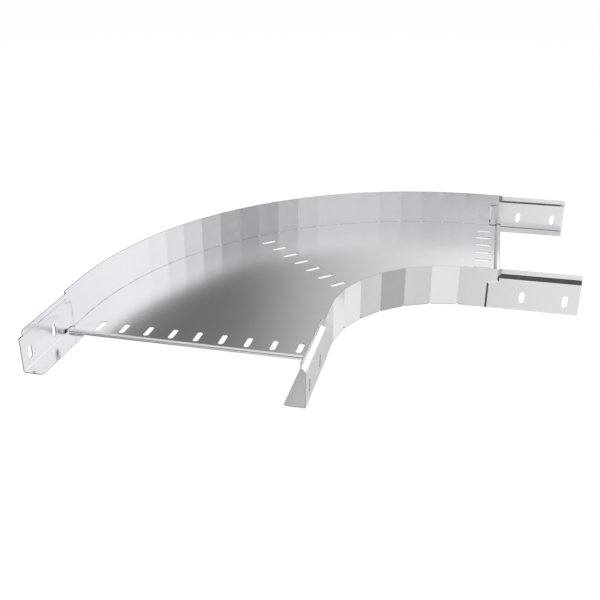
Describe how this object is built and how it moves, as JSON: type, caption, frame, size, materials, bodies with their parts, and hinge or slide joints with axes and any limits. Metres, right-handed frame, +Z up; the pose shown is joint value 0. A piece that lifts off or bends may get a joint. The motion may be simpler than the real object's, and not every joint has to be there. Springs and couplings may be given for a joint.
{
  "type": "cable tray bend",
  "caption": "Flat quarter-turn bend for a perforated cable tray: a slotted floor plate between two faceted side walls whose ends form slotted slide-in connectors.",
  "frame": {"origin": "middle of the bounding box, on the underside", "axes": "+Z up; one end opens along +X and the other along -Y, as mirror images about the diagonal"},
  "size_m": [0.9642, 0.9642, 0.085],
  "materials": {
    "galvanised_sheet": "bright strip-galvanised sheet steel"
  },
  "bodies": {
    "root": {"floor_plate": "galvanised_sheet", "outer_side_wall": "galvanised_sheet", "inner_side_wall": "galvanised_sheet"}
  },
  "joints": []
}
